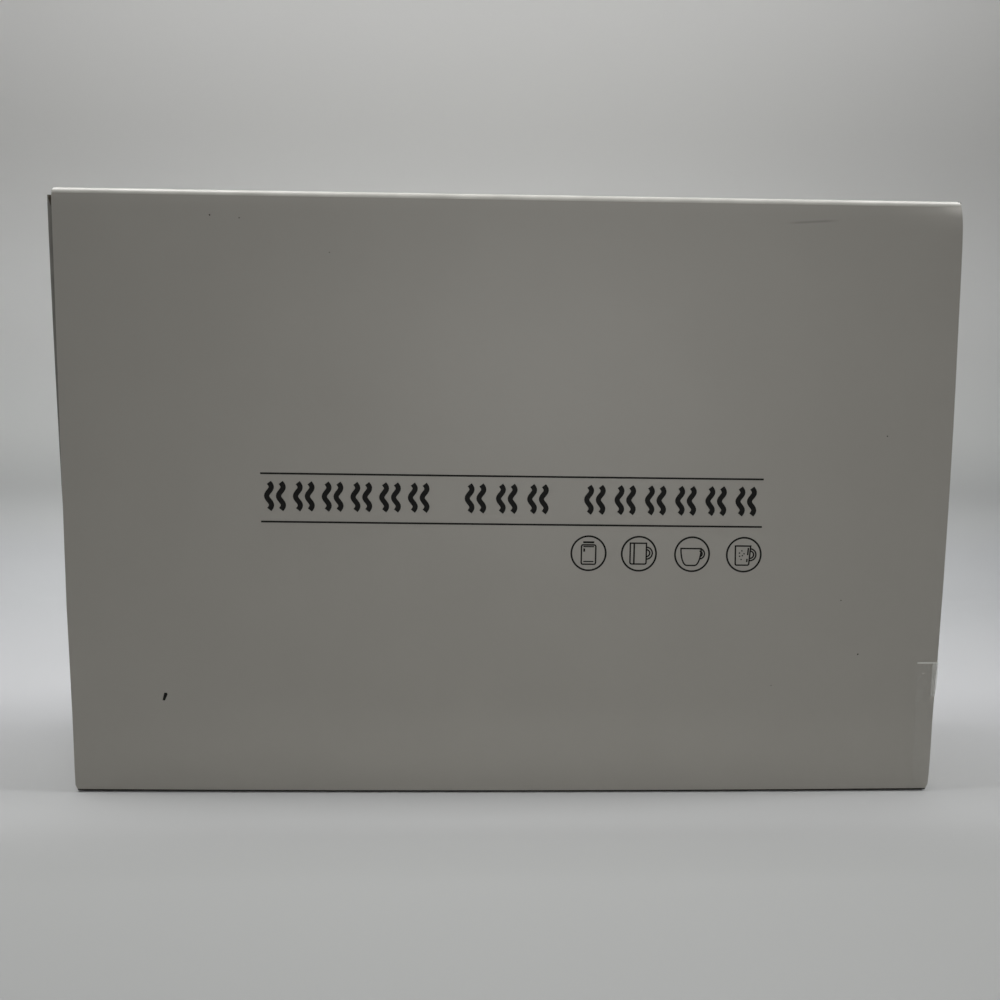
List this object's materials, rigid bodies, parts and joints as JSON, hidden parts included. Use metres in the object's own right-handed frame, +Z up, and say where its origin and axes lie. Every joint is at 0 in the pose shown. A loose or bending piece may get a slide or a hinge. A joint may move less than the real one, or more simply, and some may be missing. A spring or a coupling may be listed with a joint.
{
  "type": "boxed electric mug warmer",
  "caption": "Closed white carton with a hinged tuck lid, holding a flat electric mug warmer in a foam insert.",
  "frame": {"origin": "middle of the carton's underside, with the carton standing on its long edge", "axes": "+Z up, +X to the right along the carton width, +Y from the printed lid towards the back panel"},
  "size_m": [0.1902, 0.0462, 0.1285],
  "materials": {
    "carton_board": "matte",
    "carton_inside": "matte",
    "clear_tape": "gloss",
    "foam": "matte",
    "leaflet_paper": "matte",
    "housing_plastic": "matte",
    "plate_glass": "gloss",
    "gasket_silicone": "matte",
    "heater_mica": "satin",
    "insulation": "matte",
    "shield_metal": "satin",
    "screw_steel": "satin",
    "sensor_resin": "gloss",
    "fuse_case": "satin",
    "circuit_board": "satin",
    "chip_resin": "matte",
    "capacitor_sleeve": "gloss",
    "terminal_plastic": "matte",
    "lead_red": "satin",
    "lead_dark": "satin",
    "inlet_shell": "satin",
    "plunger_plastic": "matte",
    "button_plastic": "satin",
    "lens_clear": "gloss",
    "led_resin": "gloss",
    "foot_rubber": "matte"
  },
  "bodies": {
    "carton": {"carton_body": "carton_board", "glue_tabs": "carton_inside", "foam_base": "foam", "foam_cradle": "foam", "leaflet": "leaflet_paper", "base_housing": "housing_plastic", "top_cover": "housing_plastic", "heating_plate": "plate_glass", "plate_gasket": "gasket_silicone", "heater_disc": "heater_mica", "insulation_felt": "insulation", "heat_shield": "shield_metal", "shield_screws": "screw_steel", "board_screws": "screw_steel", "housing_screws": "screw_steel", "temperature_sensor": "sensor_resin", "thermal_fuse": "fuse_case", "control_board": "circuit_board", "inlet_board": "circuit_board", "controller_chip": "chip_resin", "power_transistors": "chip_resin", "power_switch": "chip_resin", "level_switch": "chip_resin", "filter_capacitor": "capacitor_sleeve", "lead_terminal": "terminal_plastic", "heater_leads": "lead_red", "supply_leads": "lead_dark", "inlet_socket": "inlet_shell", "indicator_lenses": "lens_clear", "indicator_leds": "led_resin", "rubber_feet": "foot_rubber"},
    "lid": {"lid_panel": "carton_board", "seal_tape": "clear_tape"},
    "tuck": {"tuck_flap": "carton_board"},
    "dust_left": {"dust_flap_left": "carton_board"},
    "dust_right": {"dust_flap_right": "carton_board"},
    "power": {"power_button": "button_plastic", "power_plunger": "plunger_plastic"},
    "level": {"level_button": "button_plastic", "level_plunger": "plunger_plastic"}
  },
  "joints": [
    {"name": "lid_hinge", "type": "hinge", "parent": "carton", "child": "lid", "pos_m": [0, -0.023, 0.1285], "axis": [-1, 0, 0], "range_deg": [0, 200]},
    {"name": "tuck_fold", "type": "hinge", "parent": "lid", "child": "tuck", "pos_m": [0, -0.023, 0.00095], "axis": [-1, 0, 0], "range_deg": [0, 25]},
    {"name": "dust_left_fold", "type": "hinge", "parent": "carton", "child": "dust_left", "pos_m": [-0.095, -0.022, 0.065], "axis": [0, 0, -1], "range_deg": [0, 101]},
    {"name": "dust_right_fold", "type": "hinge", "parent": "carton", "child": "dust_right", "pos_m": [0.095, -0.022, 0.065], "axis": [0, 0, 1], "range_deg": [0, 101]},
    {"name": "power_button_press", "type": "slide", "parent": "carton", "child": "power", "axis": [0, 1, 0], "range_m": [0, 0.0006], "stiffness_N_per_m": 500, "springref_m": -0.0004},
    {"name": "level_button_press", "type": "slide", "parent": "carton", "child": "level", "axis": [0, 1, 0], "range_m": [0, 0.0006], "stiffness_N_per_m": 500, "springref_m": -0.0004}
  ],
  "couplings": [
    {"joint": "tuck_fold", "follows": "lid_hinge", "ratio": 0.12},
    {"joint": "dust_left_fold", "follows": "lid_hinge", "ratio": 0.5},
    {"joint": "dust_right_fold", "follows": "lid_hinge", "ratio": 0.5}
  ]
}
